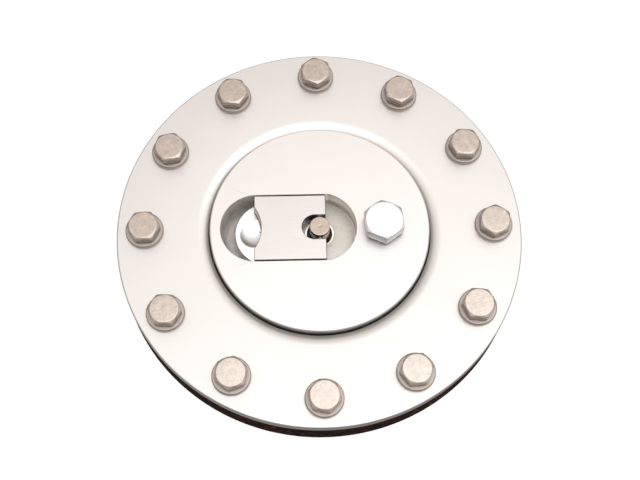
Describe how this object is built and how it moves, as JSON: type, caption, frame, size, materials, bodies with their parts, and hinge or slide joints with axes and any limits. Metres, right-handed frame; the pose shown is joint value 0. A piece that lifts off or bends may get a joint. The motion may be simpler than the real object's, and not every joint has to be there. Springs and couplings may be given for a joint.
{
  "type": "blind flange",
  "caption": "Round bolted blind flange with a thick gasket, closed by a flush quarter-turn cap with a flip-up cam lever, a lock bar under the cap and a hexagon vent plug.",
  "frame": {"origin": "centre of the flange at the underside of its gasket, the plane it is bolted down on", "axes": "+Z out of the flange face, lever tip towards -X, vent plug at +X, one mounting bolt on each of the four axes"},
  "size_m": [0.14, 0.14, 0.0432],
  "materials": {
    "flange_aluminium": "fine bead-blasted, clear anodised",
    "cap_aluminium": "fine satin, clear anodised",
    "lever_aluminium": "satin machined",
    "gasket_cork_rubber": "coarse granular cork and rubber, cut edge",
    "bolt_stainless": "cold-headed stainless, matt",
    "washer_stainless": "stamped stainless, matt",
    "spindle_stainless": "turned stainless",
    "pin_steel": "ground",
    "bar_steel": "machined, zinc plated",
    "wear_steel": "dull rolled sheet with fine scratches",
    "spring_steel": "drawn wire",
    "ring_steel": "phosphated",
    "bush_bronze": "turned",
    "plug_chrome": "bright plated",
    "seal_rubber": "moulded, smooth",
    "insert_nylon": "moulded nylon"
  },
  "bodies": {
    "flange": {"flange_plate": "flange_aluminium", "base_gasket": "gasket_cork_rubber", "mounting_bolts": "bolt_stainless", "bolt_washers": "washer_stainless", "stop_pins": "pin_steel"},
    "cap": {"cap_body": "cap_aluminium", "cap_seal": "seal_rubber", "wear_plate": "wear_steel", "spindle_bush": "bush_bronze", "spindle_seal": "seal_rubber", "gland_washer": "pin_steel", "retaining_ring": "ring_steel"},
    "plug_seat": {"plug_seal": "seal_rubber"},
    "plug": {"vent_plug": "plug_chrome"},
    "spindle": {"spindle": "spindle_stainless", "lever_pin": "pin_steel", "lock_bar": "bar_steel", "bar_washer": "pin_steel", "lock_nut": "bar_steel", "nut_insert": "insert_nylon", "return_spring": "spring_steel"},
    "lever": {"cam_lever": "lever_aluminium"}
  },
  "joints": [
    {"name": "cap_turn", "type": "hinge", "parent": "flange", "child": "cap", "pos_m": [0, 0, 0.0144], "axis": [0, 0, 1], "range_deg": [0, 90]},
    {"name": "spindle_slide", "type": "slide", "parent": "cap", "child": "spindle", "axis": [0, 0, 1], "range_m": [-0.00108, 0], "deforming": ["return_spring"]},
    {"name": "lever_lift", "type": "hinge", "parent": "spindle", "child": "lever", "pos_m": [0, 0, 0.0115], "axis": [0, 1, 0], "range_deg": [0, 90]},
    {"name": "plug_rise", "type": "slide", "parent": "cap", "child": "plug_seat", "axis": [0, 0, 1], "range_m": [0, 0.0076]},
    {"name": "plug_turn", "type": "hinge", "parent": "plug_seat", "child": "plug", "pos_m": [0.022, 0, 0.0149], "axis": [0, 0, 1], "range_deg": [0, 2160]}
  ],
  "couplings": [
    {"joint": "lever_lift", "follows": "spindle_slide", "rad_per_m": -1454.4},
    {"joint": "plug_rise", "follows": "plug_turn", "m_per_rad": 0.00019894}
  ]
}
